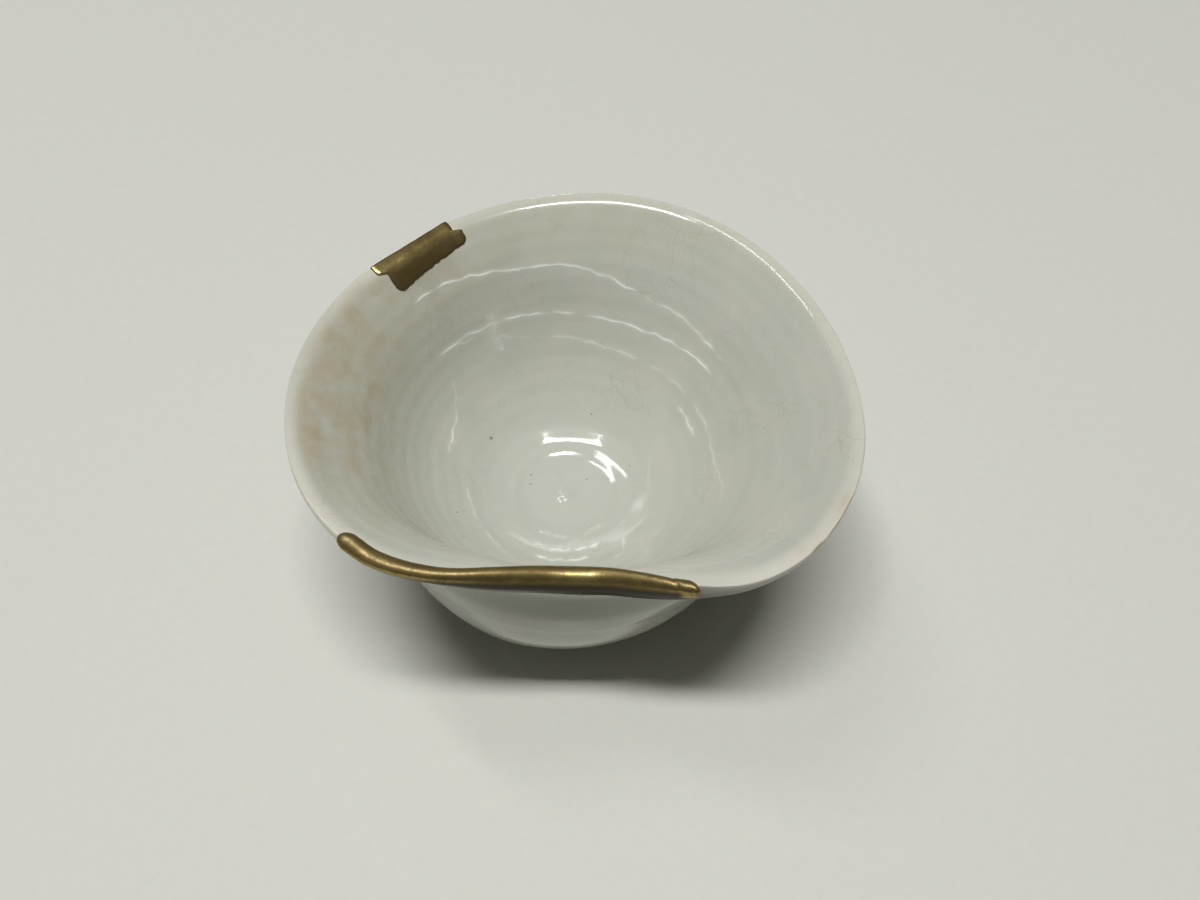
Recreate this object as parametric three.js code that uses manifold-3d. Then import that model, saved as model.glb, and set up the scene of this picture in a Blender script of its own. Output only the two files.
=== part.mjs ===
// A small porcelain sake cup: a round-bottomed, flaring bowl on a foot ring.
// The lip is broken away at the front, where a bead of gold lacquer seals the edge,
// and a chip in the rim at the back left is filled with the same lacquer.
// Millimetres, +Z up, broken side towards -Y, origin at the bottom centre of the cup's box.
import * as THREE from 'three';
import { LoftGeometry } from 'three/addons/geometries/LoftGeometry.js';
import { mergeVertices } from 'three/addons/utils/BufferGeometryUtils.js';
import Module from 'manifold-3d';

// Driving dimensions
const rimRadius = 30.75;
const height = 31;
const floorTop = 7;
const floorUnderside = 2.6;
const footOuterRadius = 13.5;
const footInnerRadius = 11.3;
const lipBase = 18;

// The rim leans to one side of the bowl and is not quite round
const leanX = 1.7;
const leanStart = 14;
const rimShrink = 0.008;
const rimWaves = [
  { count: 2, size: 0.02, phase: 8 },
  { count: 3, size: 0.028, phase: 116 },
  { count: 4, size: 0.006, phase: 133 },
];
const rimThickness = 1.1;
const edgeRoundness = 0.45;

// At the front the wall stands steeper under a wider flare: degrees from the front where
// that starts to give way to the plain bowl, and where it ends
const frontFull = 18;
const frontEnd = 62;

// Break at the front: angles in degrees from the front, + towards +X
const breakCentre = 2.7;
const breakDepth = 0.485;
const breakReachLeft = 32;
const breakReachRight = 24;

// Gold bead along the break
const beadFrom = -47;
const beadTo = 26.7;
const beadHalfHeight = 0.95;
const beadOverhang = 0.05;
const beadInward = 0.3;
const beadEnd = 3;
const beadEndFullness = 0.3;
const lacquerGap = 0.3;

// Chip at the back left: degrees anticlockwise from +X, its outline from the rim inwards,
// how far the fill stays short of the rim's curve, and where on the lip its slope is taken
const chipAzimuth = 136;
const chipWidth = 12.6;
const chipReach = 4.7;
const chipSkew = 1.2;
const chipDepth = 1.2;
const chipCorner = 2;
const chipFlat = 0.6;
const chipClear = 2;
const chipPlace = 0.85;

// Mesh fineness
const segments = 80;
const bowlRows = 7;
const lipRows = 10;
const edgeRows = 4;
const beadSegments = 30;
const beadSides = 12;
const cornerSegments = 4;
const weld = 1e-3;

const porcelain = new THREE.MeshStandardMaterial({ color: 0xcfcfc2, roughness: 0.15, metalness: 0 });
const goldLacquer = new THREE.MeshStandardMaterial({ color: 0x8f7f48, roughness: 0.38, metalness: 0.85 });

const radians = THREE.MathUtils.degToRad;

// Profile curves in the plane of radius and height, from the bottom up
const curve = (points) => new THREE.SplineCurve(points.map(([r, z]) => new THREE.Vector2(r, z)));
const outerBowl = curve([
  [14.2, 3.6],
  [17.9, 5.1],
  [21.2, 8.1],
  [23, 12.1],
  [23.7, 16.7],
]);
const outerRim = [rimRadius - 0.15, height - rimThickness];
const innerRim = [rimRadius, height];
const outerLip = {
  plain: curve([
    [23.7, 16.7],
    [24.1, 19.6],
    [24.9, 22.4],
    [26.2, 24.8],
    [27.8, 26.9],
    [29.3, 28.6],
    outerRim,
  ]),
  front: curve([
    [23.7, 16.7],
    [24.1, 20.5],
    [24.3, 23.7],
    [25.1, 26.2],
    [27, 27.8],
    [28.8, 29],
    outerRim,
  ]),
};
const innerBowl = curve([
  [0, floorTop],
  [5, floorTop + 0.3],
  [9.6, 8.7],
  [13, 11],
  [16.2, 14.2],
  [19, lipBase],
]);
const innerLip = {
  plain: curve([
    [19, lipBase],
    [20.7, 20.6],
    [22.4, 23.2],
    [24.3, 25.7],
    [26.7, 28.2],
    [29.3, 30.45],
    innerRim,
  ]),
  front: curve([
    [19, lipBase],
    [20.8, 21.7],
    [21.9, 25.1],
    [23.1, 27.7],
    [25.3, 29.3],
    [28.1, 30.3],
    innerRim,
  ]),
};
const footRing = [
  [0, floorUnderside],
  [5, floorUnderside],
  [9.6, floorUnderside - 0.1],
  [10.9, 1.4],
  [footInnerRadius, 0],
  [footOuterRadius, 0],
  [13.9, 1.6],
].map(([r, z]) => new THREE.Vector2(r, z));

// How far the flare of the rim has set in at a height, from 0 to 1
function flareAt(z) {
  return THREE.MathUtils.smoothstep(z, leanStart, height);
}

// A profile point turned to an azimuth, with the lean and the waves of the rim
function turned(point, azimuth) {
  const flare = flareAt(point.y);
  let wave = -rimShrink;
  for (const { count, size, phase } of rimWaves) {
    wave += size * Math.cos(count * azimuth + radians(phase));
  }
  const radius = point.x * (1 + flare * wave);
  return new THREE.Vector3(
    radius * Math.cos(azimuth) + flare * leanX,
    radius * Math.sin(azimuth),
    point.y,
  );
}

// Degrees from the front, -180 to 180
function fromFront(azimuth) {
  return THREE.MathUtils.euclideanModulo(THREE.MathUtils.radToDeg(azimuth) + 270, 360) - 180;
}

// The share of the lip that is left at an azimuth, gold included
function lipLeft(azimuth) {
  const away = fromFront(azimuth) - breakCentre;
  const reach = away < 0 ? breakReachLeft : breakReachRight;
  return 1 - breakDepth * Math.exp(-((away / reach) ** 2));
}

// A point of the lip's outer or inner face, between the plain bowl and the steeper front
function lipPoint(lip, azimuth, share) {
  const steep = 1 - THREE.MathUtils.smoothstep(Math.abs(fromFront(azimuth)), frontFull, frontEnd);
  return lip.plain.getPoint(share).lerp(lip.front.getPoint(share), steep);
}

// The wall's edge at an azimuth: its middle, half its thickness, and the way across and out of it
function wallEdge(azimuth) {
  const share = lipLeft(azimuth);
  const outside = lipPoint(outerLip, azimuth, share);
  const inside = lipPoint(innerLip, azimuth, share);
  const across = inside.clone().sub(outside);
  const halfWidth = across.length() / 2;
  across.normalize();
  const middle = outside.add(inside).multiplyScalar(0.5);
  const outward = new THREE.Vector2(across.y, -across.x);
  return { middle, halfWidth, across, outward };
}

// Points of a face of the bowl after its start, and of a face of the lip up to a share of it
function bowlRow(path) {
  return Array.from({ length: bowlRows }, (_, row) => path.getPoint((row + 1) / bowlRows));
}

function lipRow(lip, azimuth, share) {
  return Array.from({ length: lipRows }, (_, row) => {
    return lipPoint(lip, azimuth, (share * (row + 1)) / lipRows);
  });
}

// The rounded edge from the outer face of the wall to the inner one
function edgePoints(azimuth) {
  const { middle, halfWidth, across, outward } = wallEdge(azimuth);
  return Array.from({ length: edgeRows }, (_, row) => {
    const turn = (Math.PI * (row + 1)) / (edgeRows + 1);
    const point = middle.clone().addScaledVector(across, -halfWidth * Math.cos(turn));
    return point.addScaledVector(outward, edgeRoundness * halfWidth * Math.sin(turn));
  });
}

// The whole profile at an azimuth, from the axis underneath to the axis inside
function cupSection(azimuth) {
  const share = lipLeft(azimuth);
  const profile = [
    ...footRing,
    outerBowl.getPoint(0),
    ...bowlRow(outerBowl),
    ...lipRow(outerLip, azimuth, share),
    ...edgePoints(azimuth),
    ...lipRow(innerLip, azimuth, share).reverse(),
    ...bowlRow(innerBowl).reverse(),
    innerBowl.getPoint(0),
  ];
  return profile.map((point) => turned(point, azimuth));
}

// The unchipped cup, lofted through its profiles
function cupWall() {
  const sections = Array.from({ length: segments }, (_, step) => {
    return cupSection((-2 * Math.PI * step) / segments);
  });
  return new LoftGeometry([...sections, sections[0]], { closed: false });
}

// The bead: an oval section carried along the broken edge, blunt at both ends.
// grow swells it all round, for the room that it takes out of the porcelain.
function frontBead(grow) {
  const growAngle = THREE.MathUtils.radToDeg(grow / rimRadius);
  const from = beadFrom - growAngle;
  const to = beadTo + growAngle;
  const sections = Array.from({ length: beadSegments + 1 }, (_, step) => {
    const angle = THREE.MathUtils.lerp(from, to, step / beadSegments);
    const inside = Math.min(1, (angle - from) / beadEnd, (to - angle) / beadEnd);
    const fullness = Math.sqrt(THREE.MathUtils.lerp(beadEndFullness, 1, inside));
    return beadSection(radians(angle - 90), fullness, grow);
  });
  return new LoftGeometry(sections, { capStart: true, capEnd: true });
}

function beadSection(azimuth, fullness, grow) {
  const { middle, halfWidth, across, outward } = wallEdge(azimuth);
  const centre = middle.addScaledVector(across, beadInward);
  const wide = (halfWidth + beadOverhang) * fullness + grow;
  const high = beadHalfHeight * fullness + grow;
  return Array.from({ length: beadSides }, (_, side) => {
    const turn = (2 * Math.PI * side) / beadSides;
    const point = centre.clone().addScaledVector(across, wide * Math.cos(turn));
    return turned(point.addScaledVector(outward, high * Math.sin(turn)), azimuth);
  });
}

// The chip's block: its outline on the lip, cut down into the wall from the inner face.
// outerEdge is where it ends past the rim, and inset draws its other sides in.
function chipBlock(outerEdge, inset) {
  const half = chipWidth / 2 - inset;
  const low = inset - chipReach;
  const outline = new THREE.Shape();
  const skew = (v) => (-v * chipSkew) / chipReach;
  const left = skew(low) - half;
  const right = skew(low) + half;
  outline.moveTo(skew(outerEdge) - half, outerEdge);
  outline.lineTo(skew(low + chipCorner) - half, low + chipCorner);
  outline.quadraticCurveTo(left, low, left + chipCorner, low);
  outline.lineTo(right - chipCorner, low);
  outline.quadraticCurveTo(right, low, skew(low + chipCorner) + half, low + chipCorner);
  outline.lineTo(skew(outerEdge) + half, outerEdge);
  const depth = chipDepth - inset;
  const block = new THREE.ExtrudeGeometry(outline, {
    depth: depth + chipClear,
    bevelEnabled: false,
    curveSegments: cornerSegments,
  });
  block.translate(0, 0, -depth);
  const azimuth = radians(chipAzimuth);
  const slope = innerLip.plain.getTangent(chipPlace);
  const sideways = new THREE.Vector3(Math.sin(azimuth), -Math.cos(azimuth), 0);
  const outward = new THREE.Vector3(slope.x * Math.cos(azimuth), slope.x * Math.sin(azimuth), slope.y);
  const upward = sideways.clone().cross(outward);
  const stand = new THREE.Matrix4().makeBasis(sideways, outward, upward);
  stand.setPosition(turned(innerLip.plain.getPoint(1), azimuth));
  return block.applyMatrix4(stand);
}

const wasm = await Module();
wasm.setup();

function toSolid(geometry) {
  const bare = new THREE.BufferGeometry();
  bare.setAttribute('position', geometry.getAttribute('position'));
  bare.setIndex(geometry.index);
  const merged = mergeVertices(bare, weld);
  const mesh = new wasm.Mesh({
    numProp: 3,
    vertProperties: merged.attributes.position.array,
    triVerts: new Uint32Array(merged.index.array),
  });
  return new wasm.Manifold(mesh);
}

function toGeometry(solid) {
  const { vertProperties, triVerts } = solid.getMesh();
  const geometry = new THREE.BufferGeometry();
  geometry.setAttribute('position', new THREE.BufferAttribute(vertProperties, 3));
  geometry.setIndex(new THREE.BufferAttribute(triVerts, 1));
  geometry.computeVertexNormals();
  return geometry;
}

function piece(name, geometry, material) {
  const mesh = new THREE.Mesh(geometry, material);
  mesh.name = name;
  return mesh;
}

const wall = toSolid(cupWall());
const chip = toSolid(chipBlock(chipClear, 0));
const body = wall.subtract(chip).subtract(toSolid(frontBead(lacquerGap)));
const fill = wall.intersect(toSolid(chipBlock(-chipFlat, lacquerGap)));

// The pieces stand on the foot ring, moved so that the origin is under the middle of their box
const standing = new THREE.Group();
standing.add(piece('cup_body', toGeometry(body), porcelain));
standing.add(piece('front_rim_repair', frontBead(0), goldLacquer));
standing.add(piece('back_rim_repair', toGeometry(fill), goldLacquer));
const middle = new THREE.Box3().setFromObject(standing).getCenter(new THREE.Vector3());
standing.position.set(-middle.x, -middle.y, 0);

const sakeCup = new THREE.Group();
sakeCup.add(standing);

export default sakeCup;
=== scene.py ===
import math

import bpy
from mathutils import Matrix, Vector, kdtree, noise


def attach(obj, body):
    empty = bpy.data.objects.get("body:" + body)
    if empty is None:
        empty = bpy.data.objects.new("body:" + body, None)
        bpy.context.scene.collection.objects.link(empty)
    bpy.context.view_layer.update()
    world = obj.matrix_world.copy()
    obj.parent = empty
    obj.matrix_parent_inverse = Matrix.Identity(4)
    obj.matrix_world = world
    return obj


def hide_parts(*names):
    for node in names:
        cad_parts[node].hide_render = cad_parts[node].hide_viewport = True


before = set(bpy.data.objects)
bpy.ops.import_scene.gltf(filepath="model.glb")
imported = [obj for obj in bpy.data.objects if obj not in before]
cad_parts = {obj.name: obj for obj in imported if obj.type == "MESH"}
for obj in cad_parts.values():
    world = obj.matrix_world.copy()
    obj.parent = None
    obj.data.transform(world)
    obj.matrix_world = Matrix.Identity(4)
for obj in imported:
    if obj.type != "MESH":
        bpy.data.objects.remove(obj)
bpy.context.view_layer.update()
mm = 0.001  # every size below is in millimetres, and meshes are in metres

# The foot ring's lowest points give the axis that the cup was thrown on
footPoints = [v.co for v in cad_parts["cup_body"].data.vertices if v.co.z < 0.01 * mm]
footLow = Vector(min(p[i] for p in footPoints) for i in range(3))
footHigh = Vector(max(p[i] for p in footPoints) for i in range(3))
axisPlace = (footLow + footHigh) / 2 / mm
axisPlace.z = 0
print("frame loaded, cup axis at", [round(c, 3) for c in axisPlace], "mm")


def smoothStep(low, high, x):
    t = min(1, max(0, (x - low) / (high - low)))
    return t * t * (3 - 2 * t)


def hump(x, centre, width):
    return math.exp(-(((x - centre) / width) ** 2))


def linear(hexColour):
    parts = [int(hexColour[i:i + 2], 16) / 255 for i in (1, 3, 5)]
    return [p / 12.92 if p <= 0.04045 else ((p + 0.055) / 1.055) ** 2.4 for p in parts] + [1]


# The cup's form

cup = {
    "rimRadius": 30.75,
    "height": 31,
    "rimThickness": 1.1,
    "edgeRoundness": 0.45,
    "lean": 1.7,
    "leanStart": 14,
    "rimShrink": 0.008,
    "rimWaves": [(2, 0.02, 8), (3, 0.028, 116), (4, 0.006, 133)],  # count, size, phase
    "breakCentre": 2.7,
    "breakDepth": 0.485,
    "breakReach": (32, 24),  # degrees to the left and right of its centre
    "rimChips": [(-30, 4, 0.022), (-35, 2.4, 0.018), (-40, 2, 0.02)],  # azimuth, half width, depth
    "foot": [
        (0, 2.6), (4, 2.6), (8, 2.58), (9.6, 2.4), (10.5, 1.9), (10.95, 1.1), (11.2, 0.4), (11.4, 0.08),
        (11.7, 0), (12.4, 0), (13.1, 0), (13.4, 0.08), (13.6, 0.4), (13.8, 1.2), (13.95, 2.2), (14.08, 3),
    ],
    "outerBowl": [(14.2, 3.6), (17.9, 5.1), (21.2, 8.1), (23, 12.1), (23.7, 16.7)],
    "outerLip": [(23.7, 16.7), (24.1, 19.6), (24.9, 22.4), (26.2, 24.8), (27.8, 26.9), (29.3, 28.6)],
    "innerBowl": [(0, 7), (5, 7.3), (9.6, 8.7), (13, 11), (16.2, 14.2), (19, 18)],
    "innerLip": [(19, 18), (20.7, 20.6), (22.4, 23.2), (24.3, 25.7), (26.7, 28.2), (29.3, 30.45)],
    # at the front the wall stands steeper under a wider flare
    "outerLipFront": [(23.7, 16.7), (24.1, 20.5), (24.3, 23.7), (25.1, 26.2), (27, 27.8), (28.8, 29)],
    "innerLipFront": [(19, 18), (20.8, 21.7), (21.9, 25.1), (23.1, 27.7), (25.3, 29.3), (28.1, 30.3)],
    "frontReach": (18, 62),  # degrees from the front where the steeper wall starts to give way and ends
    "segments": 256,
    "bowlRows": 24,
    "lipRows": 30,
    "edgeRows": 12,
    "innerBowlRows": 100,
    "innerLipRows": 76,
}
for lip in ("outerLip", "outerLipFront"):
    cup[lip].append((cup["rimRadius"] - 0.15, cup["height"] - cup["rimThickness"]))
for lip in ("innerLip", "innerLipFront"):
    cup[lip].append((cup["rimRadius"], cup["height"]))


def onCurve(points, share):
    # uniform Catmull-Rom through the profile's points
    place = min(1, max(0, share)) * (len(points) - 1)
    i = min(int(place), len(points) - 2)
    t = place - i
    p = [Vector(points[min(len(points) - 1, max(0, i + k))]) for k in (-1, 0, 1, 2)]
    v0 = (p[2] - p[0]) / 2
    v1 = (p[3] - p[1]) / 2
    cubic = 2 * p[1] - 2 * p[2] + v0 + v1
    square = 3 * p[2] - 3 * p[1] - 2 * v0 - v1
    return cubic * t ** 3 + square * t ** 2 + v0 * t + p[1]


def fromFront(azimuth):
    return (math.degrees(azimuth) + 270) % 360 - 180


def breakLine(azimuth):
    # the share of the lip that is left, gold included
    away = fromFront(azimuth) - cup["breakCentre"]
    reach = cup["breakReach"][0 if away < 0 else 1]
    return 1 - cup["breakDepth"] * math.exp(-((away / reach) ** 2))


def chipBite(azimuth):
    # small chips at the front right of the rim
    angle = (math.degrees(azimuth) + 180) % 360 - 180
    return sum(depth * smoothStep(1, 0.45, abs(angle - at) / half) for at, half, depth in cup["rimChips"])


def lipPoint(lip, azimuth, share):
    start, end = cup["frontReach"]
    steep = 1 - smoothStep(start, end, abs(fromFront(azimuth)))
    return onCurve(cup[lip], share).lerp(onCurve(cup[lip + "Front"], share), steep)


def wallEdge(azimuth, share):
    outside = lipPoint("outerLip", azimuth, share)
    inside = lipPoint("innerLip", azimuth, share)
    across = (inside - outside).normalized()
    outward = Vector((across.y, -across.x))
    return (outside + inside) / 2, (inside - outside).length / 2, across, outward


def turned(point, azimuth):
    # a profile point at an azimuth, with the lean and the waves of the rim
    flare = smoothStep(cup["leanStart"], cup["height"], point.y)
    wave = sum(size * math.cos(count * azimuth + math.radians(phase)) for count, size, phase in cup["rimWaves"])
    radius = point.x * (1 + flare * (wave - cup["rimShrink"]))
    across = radius * math.cos(azimuth) + flare * cup["lean"]
    return axisPlace + Vector((across, radius * math.sin(azimuth), point.y))


# The filled chip at the back left, which ends in a straight edge across the rim

fill = {
    "azimuth": 136,
    "band": (-6.1, 6),  # its sides where it wraps the rim, across the chip
    "lobe": (-5, 7.1),  # and where it runs down the lip
    "reach": (4.7, 3.5),  # how far it runs down, at its left and right
    "corner": 1.1,
    "overEdge": 1,
    "flat": 0.6,
    "flatFade": (7, 0.5),  # mm below the rim where the lip is round as before, and where it follows the edge
    "film": 0.22,
    "filmWave": 0.03,
    "depth": 0.2,
    "sink": 0.25,  # how much lower the porcelain lies under the fill
    "sinkFade": (3.2, 2.6),  # mm below the rim where that begins, and where it is full
    "sideFade": 0.6,
    "ragged": [(0.1, 3, 4), (0.14, 9, 9)],  # its lower edge: size, waves across, seed
    "sideRagged": 0.12,
    "widens": (1.2, 1.7),  # mm below the rim where the band becomes the lobe
    "splay": 0.018,
    "wrap": 0.75,
    "worn": (1.1, 2.2),  # mm below the rim where the powder thins, and where bare lacquer is left
    "columns": 120,
    "rows": 72,
}
fillAngle = math.radians(fill["azimuth"])
fillOut = Vector((math.cos(fillAngle), math.sin(fillAngle), 0))
fillRim = turned(Vector((cup["rimRadius"], cup["height"])), fillAngle)


def flattened(point, azimuth):
    # the rim runs straight across the fill instead of round, and the lip below follows it
    rim = turned(Vector((cup["rimRadius"], cup["height"])), azimuth)
    beyond = max(0, (rim - fillRim).dot(fillOut) + fill["flat"])
    near = smoothStep(*fill["flatFade"], (rim - point).length)
    return point - fillOut * beyond * near


lipStepCount = 120
lipSteps = [onCurve(cup["innerLip"], 1 - i / lipStepCount) for i in range(lipStepCount + 1)]
lipDown = [0]
for before, after in zip(lipSteps, lipSteps[1:]):
    lipDown.append(lipDown[-1] + (after - before).length)


def downLip(down):
    # how far along the lip's curve a point is that lies this many mm below the rim
    i = next(i for i, length in enumerate(lipDown) if length >= down)
    if i == 0:
        return 1
    between = (down - lipDown[i - 1]) / (lipDown[i] - lipDown[i - 1])
    return 1 - (i - 1 + between) / lipStepCount


def underFill(azimuth, share):
    # 1 where the fill covers the porcelain, 0 away from it
    across = (fillAngle - azimuth) * cup["rimRadius"]
    left, right = fill["lobe"][0], fill["band"][1]
    side = smoothStep(left, left + fill["sideFade"], across) * smoothStep(right, right - fill["sideFade"], across)
    low, high = (downLip(down) for down in fill["sinkFade"])
    return side * smoothStep(low, high, share)


def profileRows():
    # every row of the cup's skin: which curve it lies on, and how far along
    rows = [("foot", i) for i in range(len(cup["foot"]))]
    rows += [("outerBowl", i / cup["bowlRows"]) for i in range(cup["bowlRows"] + 1)]
    rows += [("outerLip", (i + 1) / cup["lipRows"]) for i in range(cup["lipRows"])]
    rows += [("edge", (i + 1) / (cup["edgeRows"] + 1)) for i in range(cup["edgeRows"])]
    rows += [("innerLip", 1 - i / cup["innerLipRows"]) for i in range(cup["innerLipRows"])]
    rows += [("innerBowl", 1 - i / cup["innerBowlRows"]) for i in range(cup["innerBowlRows"] + 1)]
    return rows


def rowPoint(row, azimuth, broken):
    part, share = row
    if part == "foot":
        return Vector(cup["foot"][share])
    if part in ("outerBowl", "innerBowl"):
        return onCurve(cup[part], share)
    left = breakLine(azimuth) - chipBite(azimuth) if broken else 1
    if part == "edge":
        middle, half, across, outward = wallEdge(azimuth, left)
        turn = math.pi * share
        return middle - across * half * math.cos(turn) + outward * cup["edgeRoundness"] * half * math.sin(turn)
    return lipPoint(part, azimuth, share * left)


def activePiece(name):
    piece = bpy.context.object
    piece.name = piece.data.name = name
    return piece


def dropSelection():
    bpy.ops.object.select_all(action="DESELECT")


def setAttribute(mesh, name, values):
    mesh.attributes.new(name, "FLOAT", "POINT").data.foreach_set("value", values)


# Throwing rings inside the bowl: how far up the inside each ring runs, at these azimuths,
# how wide it is and how far it stands out
rings = [
    {"path": [(-180, 6.8), (180, 6.8)], "width": 0.6, "rise": 0.07},
    {"path": [(-180, 13.1), (-60, 13.6), (60, 12.8), (180, 13.1)], "width": 0.8, "rise": 0.05},
]
# Sharp crests that catch the light, each over part of a turn: path, and where it fades in and out
crests = [
    {"path": [(-180, 28), (35, 28), (61, 28.8), (100, 31.9), (142, 34.2), (180, 34)], "from": 28, "to": 146, "rise": 1},
    {"path": [(-180, 25.6), (33, 25.6), (68, 24.9), (122, 26), (180, 26)], "from": 28, "to": 145, "rise": 0.9},
    {"path": [(-180, 25), (-30, 24.4), (4, 21.3), (69, 21.2), (99, 22.3), (142, 25.9), (180, 26)], "from": -25,
     "to": 146, "rise": 0.35},
    {"path": [(-180, 22.6), (143, 22.6), (147, 19.6), (155, 17.5), (169, 16.6), (180, 16.6)], "from": 142, "to": 172,
     "rise": 0.9},
    {"path": [(-180, 19.3), (180, 19.1)], "from": 14, "to": 34, "rise": 0.7},
    {"path": [(-180, 13), (-143, 12.8), (-110, 13.5), (180, 13.5)], "from": -175, "to": -120, "rise": 0.35},
    {"path": [(-180, 8.2), (-90, 8.7), (180, 8.2)], "from": -116, "to": -58, "rise": 0.9},
    {"path": [(-180, 10.4), (-90, 10.9), (180, 10.4)], "from": -110, "to": -68, "rise": 1},
    {"path": [(-180, 12.5), (-57, 13.4), (-42, 10.5), (180, 9)], "from": -62, "to": -34, "rise": 0.7},
]
# The outside is not quite round: degrees from the front and reach, height and reach, bulge in mm.
# The wall draws in under the bead.
wallBulges = [
    (5, 36, 22.5, 2.6, -1.1),
    (0, 40, 10, 4, 0.35),
    (-48, 24, 12, 5, -0.5),
    (-50, 18, 24, 4, 0.9),
    (42, 22, 20, 6, 0.7),
]
relief = {
    "ripple": 0.011,
    "rippleLength": 2.3,
    "swell": 0.16,
    "swellLength": 13,
    "lump": 0.035,
    "lumpLength": 4.5,
    "button": 0.4,
    "buttonRadius": 1,
    "edgeSwell": 0.5,  # how much of the swells the rim's edge keeps
    "outerRipple": 1.6,  # the outside's ripple against the inside's
    "outerTwist": 0.7,
    "climb": 1.5,  # mm that the inside's ripple climbs in a turn
    "rippleFade": (3, 8),  # mm from the middle of the floor
    "swellFade": (0, 6),
    "patchy": (0.75, 0.9),  # a ring's usual strength, and how much it varies
}


def buildCup():
    rows = profileRows()
    plain = [rowPoint(row, 0, False) for row in rows]
    start = axisPlace + Vector((plain[0].x, 0, plain[0].y))
    dropSelection()
    bpy.ops.mesh.primitive_plane_add(size=mm, location=start * mm)
    body = activePiece("porcelain_cup")
    bpy.ops.object.transform_apply(location=True, rotation=True, scale=True)
    bpy.ops.object.mode_set(mode="EDIT")
    bpy.ops.mesh.merge(type="CENTER")  # one point on the axis, drawn on along the profile
    for before, after in zip(plain, plain[1:]):
        step = Vector((after.x - before.x, 0, after.y - before.y)) * mm
        bpy.ops.mesh.extrude_vertices_move(TRANSFORM_OT_translate={"value": step})
    bpy.ops.mesh.select_all(action="SELECT")
    bpy.ops.mesh.spin(steps=cup["segments"], angle=2 * math.pi, center=axisPlace * mm, axis=(0, 0, 1))
    bpy.ops.mesh.select_all(action="SELECT")
    bpy.ops.mesh.remove_doubles(threshold=0.004 * mm)
    bpy.ops.mesh.normals_make_consistent(inside=False)
    bpy.ops.object.mode_set(mode="OBJECT")

    # each point finds its row again, and moves to its place on the leaning, broken cup
    tree = kdtree.KDTree(len(plain))
    for i, p in enumerate(plain):
        tree.insert((p.x, p.y, 0), i)
    tree.balance()
    along = [0]
    for before, after in zip(reversed(plain), list(reversed(plain))[1:]):
        along.append(along[-1] + (after - before).length)
    along.reverse()  # distance from the middle of the floor, up the inside
    mesh = body.data
    facts = []
    for v in mesh.vertices:
        away = v.co / mm - axisPlace
        i = tree.find((math.hypot(away.x, away.y), away.z, 0))[1]
        azimuth = math.atan2(away.y, away.x)
        point = turned(rowPoint(rows[i], azimuth, True), azimuth)
        if rows[i][0] in ("outerLip", "edge", "innerLip"):
            point = flattened(point, azimuth)
        v.co = point * mm
        facts.append((rows[i], along[i], azimuth))
    mesh.update()

    # throwing rings, swells and lumps in the clay under the glaze
    moves = []
    for v, (row, s, azimuth) in zip(mesh.vertices, facts):
        moves.append(v.normal * clayRelief(v.co / mm, row, s, azimuth) * mm)
    for v, move in zip(mesh.vertices, moves):
        v.co += move
    mesh.update()
    markGlaze(mesh, facts)
    bpy.ops.object.shade_smooth()
    print("cup skin:", len(mesh.vertices), "points")
    return body


def onPath(path, angle):
    for (a, low), (b, high) in zip(path, path[1:]):
        if angle <= b:
            return low + (high - low) * smoothStep(a, b, angle)
    return path[-1][1]


def clayRelief(point, row, s, azimuth):
    part, share = row
    if part == "foot":
        return 0
    swell = relief["swell"] * noise.noise(point / relief["swellLength"])
    lump = relief["lump"] * noise.noise(point / relief["lumpLength"] + Vector((7, 3, 1)))
    sunk = fill["sink"] * underFill(azimuth, share if part == "innerLip" else 1 if part == "edge" else 0)
    if part == "edge":
        return relief["edgeSwell"] * swell + lump - sunk
    if not part.startswith("inner"):
        for angle, reach, height, tall, bulge in wallBulges:
            swell += bulge * hump(fromFront(azimuth), angle, reach) * hump(point.z, height, tall)
        phase = 2 * math.pi * point.z / relief["rippleLength"] + relief["outerTwist"] * azimuth
        ripple = relief["outerRipple"] * relief["ripple"] * math.sin(phase)
        return swell + lump + ripple
    turn = azimuth / (2 * math.pi)
    rise = relief["button"] * hump(s, 0, relief["buttonRadius"])
    for n, ring in enumerate(rings):
        change = noise.noise(Vector((2 * math.cos(azimuth), 2 * math.sin(azimuth), 3.7 * n)))
        patchy = relief["patchy"][0] + relief["patchy"][1] * change
        rise += ring["rise"] * patchy * hump(s, onPath(ring["path"], math.degrees(azimuth)), ring["width"])
    fade = smoothStep(*relief["rippleFade"], s)
    ripple = relief["ripple"] * fade * math.sin(2 * math.pi * (s + relief["climb"] * turn) / relief["rippleLength"])
    return rise + ripple + swell * smoothStep(*relief["swellFade"], s) + lump - sunk


# Where the glaze is stained, worn or missing, and where light and shade are painted on it, as attributes on the cup's
# skin

stains = [
    {"azimuth": 158, "width": 12, "share": 0.8, "reach": 0.09, "strength": 0.6},
    {"azimuth": 178, "width": 14, "share": 0.8, "reach": 0.1, "strength": 0.8},
    {"azimuth": 196, "width": 10, "share": 0.78, "reach": 0.08, "strength": 0.5},
    {"azimuth": 182, "width": 42, "share": 0.5, "reach": 0.3, "strength": 0.9},
    {"azimuth": 95, "width": 50, "share": 0.8, "reach": 0.18, "strength": 0.3},
    {"azimuth": 80, "width": 6, "share": 0.62, "reach": 0.07, "strength": 0.3},
    {"azimuth": 130, "width": 18, "share": 0.6, "reach": 0.16, "strength": 0.3},
    {"azimuth": -30, "width": 4, "share": 0.95, "reach": 0.06, "strength": 0.8},
    {"azimuth": -41, "width": 4, "share": 0.93, "reach": 0.05, "strength": 0.4},
]
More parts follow.
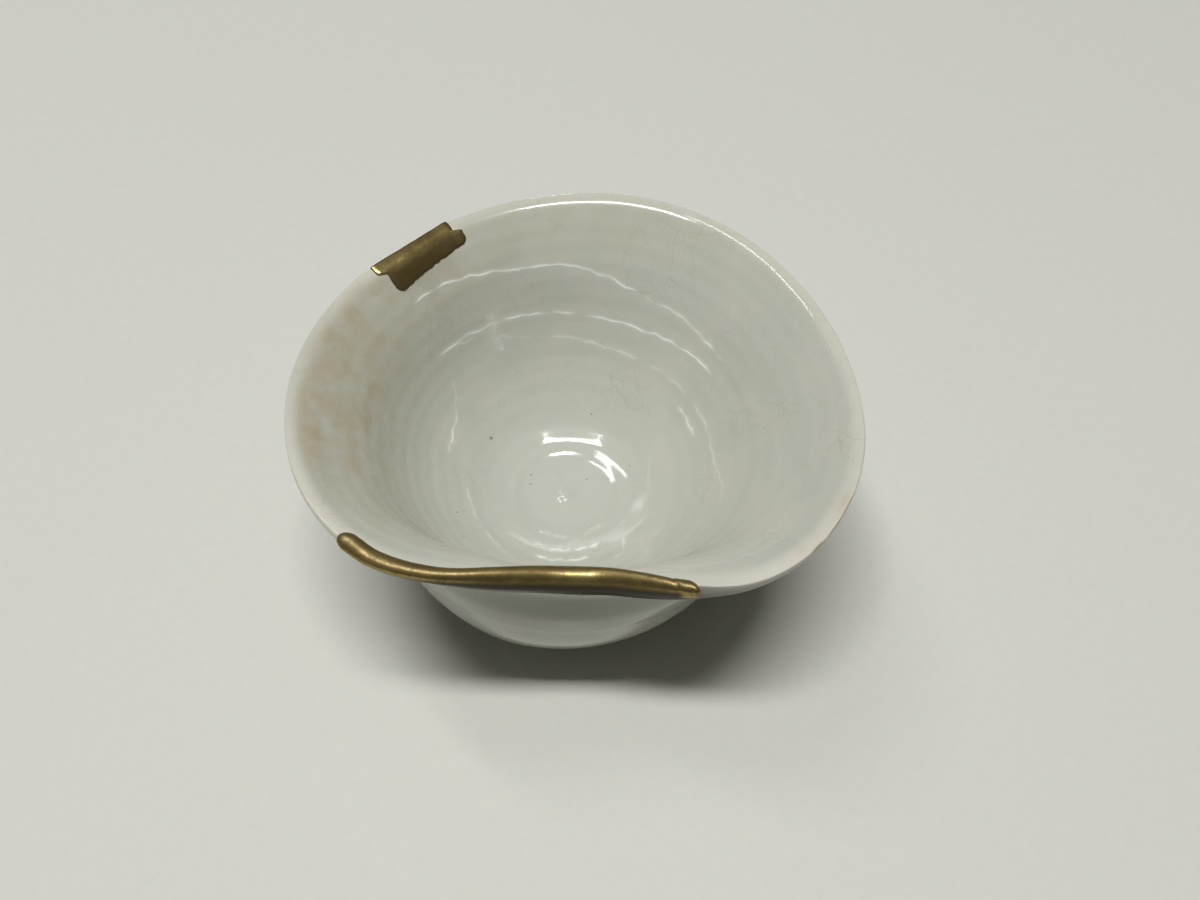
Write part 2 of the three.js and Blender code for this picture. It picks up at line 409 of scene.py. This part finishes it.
# The lip's top is paler, partly where the glaze ran thinner and partly as painted light on the top that faces the lamp:
# azimuth, how far to both sides, strength
paleLitRim = [(215, 26, 1), (-48, 22, 1), (150, 14, 0.5), (100, 60, 0.35), (10, 40, 0.3)]
marking = {
    "chip": (0.004, 0.018),  # share of the lip lost where bare clay begins, and where it is full
    "pool": (5, 22),  # mm from the middle of the floor over which the thick glaze thins out
    "pale": (0.82, 0.95),  # share of the lip where the pale top, partly painted light, begins, and where it is full
    "shade": (0.55, 0.95),  # and the strip of painted shade under the bead
    "shadeCentre": 8,  # degrees from the front
    "shadeReach": 30,
    "crestLimit": 9,  # mm from a crest where nothing of it shows
    "crestFade": 5,  # degrees
    "wander": 0.3,
    "wanderCount": 14,
    "broken": (0.6, 1.3),  # a crest's usual strength, and how much it varies
    "brokenCount": 10,
}


def turnBetween(a, b):
    return abs((a - b + 180) % 360 - 180)


def markGlaze(mesh, facts):
    stain, bare, pool, pale, shade = [], [], [], [], []
    offsets, strengths = ([[] for group in range(0, len(crests), 3)] for kind in range(2))
    for (part, share), s, azimuth in facts:
        angle = math.degrees(azimuth)
        onLip = share if part in ("innerLip", "outerLip") else 1 if part == "edge" else 0
        marks = 0
        if part in ("innerLip", "edge"):
            for mark in stains:
                near = hump(turnBetween(angle, mark["azimuth"]), 0, mark["width"])
                marks += mark["strength"] * near * hump(onLip, mark["share"], mark["reach"])
        stain.append(min(1, marks))
        footEdge = part == "foot" and 6 <= share <= 12
        chip = smoothStep(*marking["chip"], chipBite(azimuth)) * (part == "edge")
        bare.append(1 if footEdge else chip)
        pool.append(1 - smoothStep(*marking["pool"], s) if part == "innerBowl" else 0)
        # the lip's pale top: partly thinner glaze, partly painted light
        thinAndLit = sum(strength * hump(turnBetween(angle, at), 0, reach) for at, reach, strength in paleLitRim)
        pale.append(min(1, thinAndLit) * smoothStep(*marking["pale"], onLip))
        # painted shade: the glaze is darkened in a strip close under the bead, where shade falls
        under = 0
        if part in ("outerLip", "edge"):
            front = hump(fromFront(azimuth), marking["shadeCentre"], marking["shadeReach"])
            under = smoothStep(*marking["shade"], onLip) * front
        shade.append(under)
        for n, crest in enumerate(crests):
            limit = marking["crestLimit"]
            away, strength = limit, 0
            if part.startswith("inner"):
                around = Vector((math.cos(azimuth), math.sin(azimuth), 0))
                wander = marking["wander"] * noise.noise(marking["wanderCount"] * around + Vector((0, 0, 2.1 * n)))
                away = max(-limit, min(limit, s - onPath(crest["path"], angle) + wander))
                gaps = noise.noise(marking["brokenCount"] * around + Vector((0, 0, 5.3 * n)))
                broken = marking["broken"][0] + marking["broken"][1] * gaps
                begin, end, over = crest["from"], crest["to"], marking["crestFade"]
                ends = smoothStep(begin, begin + over, angle) * smoothStep(end, end - over, angle)
                strength = crest["rise"] * ends * max(0, min(1, broken))
            offsets[n // 3].append(away)
            strengths[n // 3].append(strength)
    setAttribute(mesh, "shade", shade)
    setAttribute(mesh, "stain", stain)
    setAttribute(mesh, "bare", bare)
    setAttribute(mesh, "pool", pool)
    setAttribute(mesh, "pale", pale)
    for n in range(len(offsets)):
        for name, values in (("crestOffset", offsets[n]), ("crestRise", strengths[n])):
            mesh.attributes.new(f"{name}{n}", "FLOAT_VECTOR", "POINT").data.foreach_set("vector", values)


# The gold bead along the broken front edge

bead = {
    "from": -47.5,
    "to": 26.7,
    "halfHeight": 0.98,
    "overhang": 0.08,
    "inward": 0.3,
    "steps": 200,
    "sides": 32,
    "end": (2.6, 1.5),
    "tipFrom": 22.6,
    "tipSwell": 0.05,
    "tipGroove": 0.1,
    "tipCurl": 0.9,
    "curlReach": 7,  # degrees
    "grooveReach": 0.35,
    "wrinkle": 0.012,
    "wrinkleLength": 0.55,
    "wrinkleShare": 0.4,  # how much of the wrinkles the smooth middle keeps
    "roughEnds": [(-26, -36, 1), (21, 23, 0.8)],  # degrees where the ends roughen and are rough, and how much
    "lump": 0.02,
    "lumpLength": 4,
    "worn": 0.6,  # how much lacquer shows on the inner half
    "sweepRadius": 1,  # the plain ring that is swept before each point finds its place
    "sweepShare": 0.8,
}


def buildBead():
    ring = cup["rimRadius"] * bead["sweepShare"]
    span = math.radians(bead["to"] - bead["from"])
    first = math.radians(bead["from"] - 90)
    start = axisPlace + Vector((ring * math.cos(first), ring * math.sin(first), cup["height"]))
    dropSelection()
    bpy.ops.mesh.primitive_circle_add(
        vertices=bead["sides"], radius=bead["sweepRadius"] * mm, location=start * mm,
        rotation=(math.pi / 2, 0, first),
    )
    piece = activePiece("gold_front_bead")
    bpy.ops.object.transform_apply(location=True, rotation=True, scale=True)
    bpy.ops.object.mode_set(mode="EDIT")
    bpy.ops.mesh.select_all(action="SELECT")
    bpy.ops.mesh.spin(steps=bead["steps"], angle=-span, center=axisPlace * mm, axis=(0, 0, 1))
    bpy.ops.mesh.select_all(action="DESELECT")
    bpy.ops.mesh.select_mode(type="EDGE")
    bpy.ops.mesh.select_non_manifold()
    bpy.ops.mesh.edge_face_add()
    bpy.ops.mesh.select_all(action="SELECT")
    bpy.ops.mesh.normals_make_consistent(inside=False)
    bpy.ops.object.mode_set(mode="OBJECT")
    mesh = piece.data
    lacquer, paintedUnderShade = [], []
    for v in mesh.vertices:
        away = v.co / mm - axisPlace
        azimuth = math.atan2(away.y, away.x)
        turn = math.atan2(away.z - cup["height"], ring - math.hypot(away.x, away.y))
        v.co = beadPoint(azimuth, turn) * mm
        lacquer.append(bead["worn"] * smoothStep(0.2, 0.8, math.cos(turn)))
        # painted shade: the lower, outer half of the bead is darkened, except on the matt cap at its right end
        beforeTip = smoothStep(bead["tipFrom"] + 1, bead["tipFrom"], fromFront(azimuth))
        paintedUnderShade.append(smoothStep(0, -0.55, math.cos(turn)) * beforeTip)
    mesh.update()
    setAttribute(mesh, "lacquer", lacquer)
    setAttribute(mesh, "paintedUnderShade", paintedUnderShade)
    bpy.ops.object.shade_smooth()
    print("gold bead:", len(mesh.vertices), "points")
    return piece


def beadPoint(azimuth, turn):
    angle = fromFront(azimuth)
    middle, half, across, outward = wallEdge(azimuth, breakLine(azimuth))
    inside = min((angle - bead["from"]) / bead["end"][0], (bead["to"] - angle) / bead["end"][1])
    full = math.sqrt(max(0.02, 1 - (1 - min(1, inside)) ** 2))
    if angle > bead["tipFrom"]:
        full *= 1 + bead["tipSwell"]
    full *= 1 - bead["tipGroove"] * hump(angle, bead["tipFrom"], bead["grooveReach"])
    curl = bead["tipCurl"] * smoothStep(bead["from"] + bead["curlReach"], bead["from"], angle)
    core = middle + across * (bead["inward"] + curl)
    place = core + across * (half + bead["overhang"]) * full * math.cos(turn)
    place += outward * bead["halfHeight"] * full * math.sin(turn)
    point = turned(place, azimuth)
    centre = turned(core, azimuth)
    rough = bead["wrinkleShare"]
    for start, end, more in bead["roughEnds"]:
        rough += more * smoothStep(start, end, angle)
    bump = bead["wrinkle"] * rough * noise.noise(point / bead["wrinkleLength"])
    bump += bead["lump"] * noise.noise(point / bead["lumpLength"])
    return point + (point - centre).normalized() * bump * min(1, inside * 2)


def buildFill():
    dropSelection()
    bpy.ops.mesh.primitive_grid_add(
        x_subdivisions=fill["columns"], y_subdivisions=fill["rows"], size=2 * mm, location=(0, 0, 0),
    )
    piece = activePiece("gold_back_fill")
    mesh = piece.data
    lacquer = []
    for v in mesh.vertices:
        place, down = fillPoint(v.co.x / mm, (1 - v.co.y / mm) / 2)
        v.co = place * mm
        lacquer.append(smoothStep(*fill["worn"], down))
    mesh.update()
    setAttribute(mesh, "lacquer", lacquer)
    if sum(f.normal.z for f in mesh.polygons) < 0:
        mesh.flip_normals()
    thick = piece.modifiers.new("thick", "SOLIDIFY")
    thick.thickness = fill["depth"] * mm
    thick.offset = -1
    bpy.ops.object.modifier_apply(modifier="thick")
    bpy.ops.object.shade_smooth()
    print("gold fill:", len(mesh.vertices), "points")
    return piece


def fillPoint(u, v):
    # u runs across the fill from -1 to 1, v from its outer edge over the rim and down the lip
    left, right = fill["reach"]
    ragged = sum(size * noise.noise(Vector((waves * u, 0, seed))) for size, waves, seed in fill["ragged"])
    lower = left + (right - left) * (u + 1) / 2 + ragged
    down = -fill["overEdge"] + v * (lower + fill["overEdge"])
    wide = smoothStep(*fill["widens"], down)
    low = min(1, max(0, 1 - (lower - down) / fill["corner"]))
    rounded = fill["corner"] * (1 - math.sqrt(1 - low * low))
    sides = [band + (lobe - band) * wide for band, lobe in zip(fill["band"], fill["lobe"])]
    across = sides[0] + rounded + (sides[1] - sides[0] - 2 * rounded) * (u + 1) / 2
    across += fill["sideRagged"] * noise.noise(Vector((0, 5 * v, 2 + u))) * abs(u)
    azimuth = fillAngle - across / cup["rimRadius"] * (1 + fill["splay"] * max(0, down))
    if down >= 0:
        point = onCurve(cup["innerLip"], downLip(down))
        ahead = onCurve(cup["innerLip"], downLip(down + 0.1))
        normal = Vector((ahead.y - point.y, point.x - ahead.x)).normalized()
    else:
        middle, half, inward, outward = wallEdge(azimuth, 1)
        turn = math.pi * (1 + fill["wrap"] * down / fill["overEdge"])
        reach = cup["edgeRoundness"] * half * math.sin(turn)
        point = middle - inward * half * math.cos(turn) + outward * reach
        normal = (inward * -math.cos(turn) + outward * math.sin(turn)).normalized()
    rim = min(1, 9 * min(1 - abs(u), v, 1 - v))
    film = fill["film"] * (0.1 + 0.9 * math.sqrt(max(0, rim * (2 - rim))))
    film += fill["filmWave"] * noise.noise(Vector((4 * u, 4 * v, 1)))
    return flattened(turned(point + normal * film, azimuth), azimuth), down


# Materials

def addNode(tree, kind, inputs=None, **settings):
    node = tree.nodes.new(kind)
    for name, value in settings.items():
        setattr(node, name, value)
    for name, value in (inputs or {}).items():
        if isinstance(value, bpy.types.NodeSocket):
            tree.links.new(value, node.inputs[name])
        else:
            node.inputs[name].default_value = value
    return node


def newMaterial(name):
    material = bpy.data.materials.new(name)
    material.use_nodes = True
    tree = material.node_tree
    return material, tree, tree.nodes["Principled BSDF"]


glaze = {
    "body": "#c3c3b6",
    "cool": "#bcbfb2",
    "pool": "#b3b5aa",
    # the lip's pale top, partly painted light
    "pale": "#cfccc0",
    "stain": "#a89d76",
    "pink": "#b9a68c",
    # painted shade for the strip under the bead
    "paintedShade": "#3f3c31",
    "crack": "#85806c",
    "bare": "#cdbdab",
    "speck": "#6c6a58",
    "cell": 2.2,
    "line": 0.05,
    "bigCell": 6,
    "bigLine": 0.06,
    "mottle": 7,
    "warp": 1.6,
    "warpLength": 4,
    "crackFade": (0.02, 0.2),
    "crackFadeLength": 9,
    "blotch": 2.6,
    "peel": 0.9,
    "peelDepth": 0.05,
    "roughness": (0.09, 0.6),  # glazed, and stained or bare
    "shine": (0.5, 0.03),  # in the open, and in the painted shade under the bead
    # painted highlight along the crests of the throwing rings
    "crest": "#f2f2ec",
    "crestWidth": 0.15,
    "crestRise": 0.07,
}


def glazeMaterial():
    # Glazed porcelain with a fine tea-stained crackle: glossy, slightly grey-green, uneven in tone,
    # and with painted shade in the strip close under the bead
    material, tree, shader = newMaterial("crackle_glazed_porcelain")
    place = addNode(tree, "ShaderNodeTexCoord").outputs["Object"]
    warp = addNode(tree, "ShaderNodeTexNoise", {"Vector": place, "Scale": 1 / (glaze["warpLength"] * mm), "Detail": 2})
    shift = addNode(tree, "ShaderNodeVectorMath", {0: warp.outputs["Color"], 1: (0.5, 0.5, 0.5)},
                    operation="SUBTRACT")
    bent = addNode(tree, "ShaderNodeVectorMath", {0: shift.outputs[0], 1: (glaze["warp"] * mm,) * 3, 2: place},
                   operation="MULTIPLY_ADD").outputs[0]
    lines = []
    for cell, line in ((glaze["cell"], glaze["line"]), (glaze["bigCell"], glaze["bigLine"])):
        cells = addNode(tree, "ShaderNodeTexVoronoi", {"Vector": bent, "Scale": 1 / (cell * mm)},
                        feature="DISTANCE_TO_EDGE")
        edge = addNode(tree, "ShaderNodeMapRange", {
            "Value": cells.outputs["Distance"], "From Min": 0.2 * line / cell, "From Max": line / cell,
            "To Min": 1, "To Max": 0,
        })
        lines.append(edge.outputs["Result"])
    crackle = addNode(tree, "ShaderNodeMath", {0: lines[0], 1: lines[1]}, operation="MAXIMUM")
    fadeNoise = addNode(tree, "ShaderNodeTexNoise", {
        "Vector": place, "Scale": 1 / (glaze["crackFadeLength"] * mm), "Detail": 3,
    })
    fade = addNode(tree, "ShaderNodeMapRange", {
        "Value": fadeNoise.outputs["Fac"], "From Min": 0.4, "From Max": 0.7,
        "To Min": glaze["crackFade"][0], "To Max": glaze["crackFade"][1],
    })
    cracks = addNode(tree, "ShaderNodeMath", {0: crackle.outputs[0], 1: fade.outputs["Result"]},
                     operation="MULTIPLY")

    mottle = addNode(tree, "ShaderNodeTexNoise", {"Vector": place, "Scale": 1 / (glaze["mottle"] * mm), "Detail": 6})
    tones = addNode(tree, "ShaderNodeMapRange", {"Value": mottle.outputs["Fac"], "From Min": 0.3, "From Max": 0.7})
    tone = addNode(tree, "ShaderNodeMix", {
        "Factor": tones.outputs["Result"], 6: linear(glaze["body"]), 7: linear(glaze["cool"]),
    }, data_type="RGBA").outputs[2]
    # the thicker pool on the floor, the lip's pale top with painted light, and painted shade under the bead
    for name, colour in (("pool", "pool"), ("pale", "pale"), ("shade", "paintedShade")):
        mark = addNode(tree, "ShaderNodeAttribute", attribute_name=name)
        tone = addNode(tree, "ShaderNodeMix", {
            "Factor": mark.outputs["Fac"], 6: tone, 7: linear(glaze[colour]),
        }, data_type="RGBA").outputs[2]
    stainMark = addNode(tree, "ShaderNodeAttribute", attribute_name="stain")
    blotch = addNode(tree, "ShaderNodeTexNoise", {"Vector": bent, "Scale": 1 / (glaze["blotch"] * mm), "Detail": 7})
    blotchy = addNode(tree, "ShaderNodeMapRange", {
        "Value": blotch.outputs["Fac"], "From Min": 0.3, "From Max": 0.7, "To Min": 0.1, "To Max": 0.85,
    })
    stained = addNode(tree, "ShaderNodeMath", {0: stainMark.outputs["Fac"], 1: blotchy.outputs["Result"]},
                      operation="MULTIPLY")
    stainTone = addNode(tree, "ShaderNodeMix", {
        "Factor": tones.outputs["Result"], 6: linear(glaze["stain"]), 7: linear(glaze["pink"]),
    }, data_type="RGBA")
    soiled = addNode(tree, "ShaderNodeMix", {
        "Factor": stained.outputs[0], 6: tone, 7: stainTone.outputs[2],
    }, data_type="RGBA")
    cracked = addNode(tree, "ShaderNodeMix", {
        "Factor": cracks.outputs[0], 6: soiled.outputs[2], 7: linear(glaze["crack"]),
    }, data_type="RGBA")
    bareMark = addNode(tree, "ShaderNodeAttribute", attribute_name="bare")
    bared = addNode(tree, "ShaderNodeMix", {
        "Factor": bareMark.outputs["Fac"], 6: cracked.outputs[2], 7: linear(glaze["bare"]),
    }, data_type="RGBA")
    finished = bared.outputs[2]
    # the crests of the throwing rings, finer than the mesh: each a narrow bell about its path, bumped, with a painted
    # highlight along its top
    crestHeights = []
    for n in range(len(crests) // 3):
        offset = addNode(tree, "ShaderNodeAttribute", attribute_name=f"crestOffset{n}")
        rise = addNode(tree, "ShaderNodeAttribute", attribute_name=f"crestRise{n}")
        scaled = addNode(tree, "ShaderNodeVectorMath", {
            0: offset.outputs["Vector"], "Scale": 1 / glaze["crestWidth"],
        }, operation="SCALE")
        square = addNode(tree, "ShaderNodeVectorMath", {0: scaled.outputs[0], 1: scaled.outputs[0], 2: (1, 1, 1)},
                         operation="MULTIPLY_ADD")
        bell = addNode(tree, "ShaderNodeVectorMath", {0: rise.outputs["Vector"], 1: square.outputs[0]},
                       operation="DIVIDE")
        height = addNode(tree, "ShaderNodeVectorMath", {0: bell.outputs[0], 1: (1, 1, 1)}, operation="DOT_PRODUCT")
        crestHeights.append(height.outputs["Value"])
        # painted highlight: the colour is lifted toward near-white along each crest
        finished = addNode(tree, "ShaderNodeMix", {
            "Factor": height.outputs["Value"], 6: finished, 7: linear(glaze["crest"]),
        }, data_type="RGBA").outputs[2]
    for point, radius in pinholes():
        away = addNode(tree, "ShaderNodeVectorMath", {0: place, 1: point * mm}, operation="DISTANCE")
        spot = addNode(tree, "ShaderNodeMapRange", {
            "Value": away.outputs["Value"], "From Min": 0.5 * radius * mm, "From Max": radius * mm,
            "To Min": 0.75, "To Max": 0,
        })
        finished = addNode(tree, "ShaderNodeMix", {
            "Factor": spot.outputs["Result"], 6: finished, 7: linear(glaze["speck"]),
        }, data_type="RGBA").outputs[2]
    tree.links.new(finished, shader.inputs["Base Color"])

    dull = addNode(tree, "ShaderNodeMath", {0: stained.outputs[0], 1: bareMark.outputs["Fac"]}, operation="MAXIMUM")
    gloss = addNode(tree, "ShaderNodeMapRange", {
        "Value": dull.outputs[0], "To Min": glaze["roughness"][0], "To Max": glaze["roughness"][1],
    })
    tree.links.new(gloss.outputs["Result"], shader.inputs["Roughness"])
    shade = addNode(tree, "ShaderNodeAttribute", attribute_name="shade")
    shine = addNode(tree, "ShaderNodeMapRange", {
        "Value": shade.outputs["Fac"], "From Max": 0.8, "To Min": glaze["shine"][0], "To Max": glaze["shine"][1],
    })
    tree.links.new(shine.outputs["Result"], shader.inputs["Specular IOR Level"])
    peel = addNode(tree, "ShaderNodeTexNoise", {"Vector": place, "Scale": 1 / (glaze["peel"] * mm), "Detail": 2})
    bump = addNode(tree, "ShaderNodeBump", {
        "Height": peel.outputs["Fac"], "Strength": 0.1, "Distance": glaze["peelDepth"] * mm,
    })
    normal = bump.outputs["Normal"]
    for height in crestHeights:
        normal = addNode(tree, "ShaderNodeBump", {
            "Height": height, "Strength": 1, "Distance": glaze["crestRise"] * mm, "Normal": normal,
        }).outputs["Normal"]
    tree.links.new(normal, shader.inputs["Normal"])
    shader.inputs["IOR"].default_value = 1.5
    return material


def pinholes():
    # dark specks in the glaze of the bowl: azimuth, radius and height on the cup, and size
    specks = [(146, 12, 10.2, 0.3), (148, 5.5, 7.4, 0.16), (161, 4.9, 7.3, 0.16), (-33, 19.7, 19.1, 0.2),
              (-155, 14.3, 12.2, 0.18), (45, 3.7, 7.1, 0.15), (26, 9.1, 8.5, 0.15), (75, 11.6, 9.9, 0.15)]
    for angle, radius, height, size in specks:
        turn = math.radians(angle)
        yield axisPlace + Vector((radius * math.cos(turn), radius * math.sin(turn), height)), size


gold = {
    "bright": "#a3905a",
    "brown": "#75603a",
    # painted shade for the bead's lower half
    "paintedUnderShade": "#2c2614",
    "lacquer": "#54441f",
    "dark": "#463a1e",
    "grain": 0.35,
    "grainDepth": 0.04,
    "streak": 1.6,
    "roughness": (0.2, 0.3),
    "lacquerRoughness": 0.25,  # added where the lacquer shows and in the painted shade
    "metallic": (0.8, 0.3),  # powder, and bare lacquer and painted shade
}


def goldMaterial():
    # Gold powder dusted on brown lacquer: a satin metal with the lacquer showing through in patches, and painted shade
    # on the bead's lower half
    material, tree, shader = newMaterial("gold_powder_lacquer")
    place = addNode(tree, "ShaderNodeTexCoord").outputs["Object"]
    grain = addNode(tree, "ShaderNodeTexNoise", {"Vector": place, "Scale": 1 / (gold["grain"] * mm), "Detail": 3})
    streak = addNode(tree, "ShaderNodeTexNoise", {"Vector": place, "Scale": 1 / (gold["streak"] * mm), "Detail": 4})
    worn = addNode(tree, "ShaderNodeMapRange", {
        "Value": streak.outputs["Fac"], "From Min": 0.4, "From Max": 0.7, "To Min": 0, "To Max": 0.6,
    })
    tone = addNode(tree, "ShaderNodeMix", {
        "Factor": worn.outputs["Result"], 6: linear(gold["bright"]), 7: linear(gold["brown"]),
    }, data_type="RGBA")
    lacquer = addNode(tree, "ShaderNodeAttribute", attribute_name="lacquer")
    rubbed = addNode(tree, "ShaderNodeMix", {
        "Factor": lacquer.outputs["Fac"], 6: tone.outputs[2], 7: linear(gold["lacquer"]),
    }, data_type="RGBA")
    # painted shade on the bead's lower, outer half, which is also made less metallic and rougher
    paintedUnderShade = addNode(tree, "ShaderNodeAttribute", attribute_name="paintedUnderShade")
    underShaded = addNode(tree, "ShaderNodeMix", {
        "Factor": paintedUnderShade.outputs["Fac"], 6: rubbed.outputs[2], 7: linear(gold["paintedUnderShade"]),
    }, data_type="RGBA")
    specks = addNode(tree, "ShaderNodeMapRange", {
        "Value": grain.outputs["Fac"], "From Min": 0.5, "From Max": 0.75, "To Min": 0, "To Max": 0.5,
    })
    speckled = addNode(tree, "ShaderNodeMix", {
        "Factor": specks.outputs["Result"], 6: underShaded.outputs[2], 7: linear(gold["dark"]),
    }, data_type="RGBA")
    tree.links.new(speckled.outputs[2], shader.inputs["Base Color"])
    rough = addNode(tree, "ShaderNodeMapRange", {
        "Value": grain.outputs["Fac"], "From Min": 0.3, "From Max": 0.7,
        "To Min": gold["roughness"][0], "To Max": gold["roughness"][1],
    })
    plain = addNode(tree, "ShaderNodeMath", {0: lacquer.outputs["Fac"], 1: paintedUnderShade.outputs["Fac"]}, operation="MAXIMUM")
    matt = addNode(tree, "ShaderNodeMath", {
        0: plain.outputs[0], 1: gold["lacquerRoughness"], 2: rough.outputs["Result"],
    }, operation="MULTIPLY_ADD")
    tree.links.new(matt.outputs[0], shader.inputs["Roughness"])
    metal = addNode(tree, "ShaderNodeMapRange", {
        "Value": plain.outputs[0], "To Min": gold["metallic"][0], "To Max": gold["metallic"][1],
    })
    tree.links.new(metal.outputs["Result"], shader.inputs["Metallic"])
    bump = addNode(tree, "ShaderNodeBump", {
        "Height": grain.outputs["Fac"], "Strength": 0.2, "Distance": gold["grainDepth"] * mm,
    })
    tree.links.new(bump.outputs["Normal"], shader.inputs["Normal"])
    return material


def dress(piece, material, node):
    piece.data.materials.clear()
    piece.data.materials.append(material)
    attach(piece, "root")
    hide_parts(node)


goldFinish = goldMaterial()
dress(buildCup(), glazeMaterial(), "cup_body")
dress(buildBead(), goldFinish, "front_rim_repair")
dress(buildFill(), goldFinish, "back_rim_repair")
print("pieces dressed")


# Stage, light and camera

stage = {
    "floor": "#cdcdc5",
    "floorSize": 3,  # in metres, as are the lamps' places and sizes
    "fleck": 1.5,
    "fleckTone": (0.985, 1.01),
    "floorRoughness": 0.7,
    "ceilingFrom": 0.7,  # where the pale ceiling begins, 1 being straight up
    "zenith": 0.35,
    "horizon": 0.012,
    "sky": "#f1f2ee",
    "tubes": [  # place, length and width, turn about the vertical, power
        ((-0.1, -0.1, 1.5), (0.85, 0.14), 0, 19),
        ((-0.6, 0.5, 1.5), (0.7, 0.12), 140, 4),
    ],
}
view = {
    "place": (4.28, -69.89, 116.22),  # from the cup's axis, in mm
    "pitch": 54.7,
    "roll": 1.31,
    "lens": 30,
    "sensor": 36,
}


def buildFloor():
    dropSelection()
    bpy.ops.mesh.primitive_plane_add(size=stage["floorSize"], location=(0, 0, 0))
    floor = activePiece("table_top")
    # A pale laminate table: matt, with a faint fleck
    material, tree, shader = newMaterial("pale_table")
    place = addNode(tree, "ShaderNodeTexCoord").outputs["Object"]
    fleck = addNode(tree, "ShaderNodeTexNoise", {"Vector": place, "Scale": 1 / (stage["fleck"] * mm), "Detail": 6})
    tone = addNode(tree, "ShaderNodeMapRange", {
        "Value": fleck.outputs["Fac"], "From Min": 0.3, "From Max": 0.7,
        "To Min": stage["fleckTone"][0], "To Max": stage["fleckTone"][1],
    })
    tint = addNode(tree, "ShaderNodeVectorMath", {0: linear(stage["floor"])[:3], "Scale": tone.outputs["Result"]},
                   operation="SCALE")
    tree.links.new(tint.outputs[0], shader.inputs["Base Color"])
    shader.inputs["Roughness"].default_value = stage["floorRoughness"]
    floor.data.materials.append(material)


def addTube(place, size, turn, power):
    bpy.ops.object.light_add(type="AREA", location=place)
    lamp = bpy.context.object
    lamp.name = lamp.data.name = "tube_light"
    lamp.data.shape = "RECTANGLE"
    lamp.data.size, lamp.data.size_y = size
    lamp.data.energy = power
    lamp.rotation_euler.z = math.radians(turn)


def buildStage():
    buildFloor()
    world = bpy.data.worlds.new("room")
    world.use_nodes = True
    tree = world.node_tree
    # a pale ceiling over darker walls
    way = addNode(tree, "ShaderNodeTexCoord").outputs["Generated"]
    height = addNode(tree, "ShaderNodeSeparateXYZ", {0: way})
    level = addNode(tree, "ShaderNodeMapRange", {
        "Value": height.outputs["Z"], "From Min": stage["ceilingFrom"], "From Max": 1,
        "To Min": stage["horizon"], "To Max": stage["zenith"],
    })
    ground = tree.nodes["Background"]
    ground.inputs["Color"].default_value = linear(stage["sky"])
    tree.links.new(level.outputs["Result"], ground.inputs["Strength"])
    bpy.context.scene.world = world
    for tube in stage["tubes"]:
        addTube(*tube)
    bpy.context.scene.view_settings.view_transform = "Standard"


def buildCamera():
    place = axisPlace + Vector(view["place"])
    bpy.ops.object.camera_add()
    camera = bpy.context.object
    camera.data.lens = view["lens"]
    camera.data.sensor_width = view["sensor"]
    camera.data.clip_start = 1 * mm
    tilt = Matrix.Rotation(math.radians(90 - view["pitch"]), 4, "X")
    roll = Matrix.Rotation(math.radians(view["roll"]), 4, "Z")
    camera.matrix_world = Matrix.Translation(place * mm) @ tilt @ roll
    bpy.context.scene.camera = camera


buildStage()
buildCamera()
print("stage and camera set")
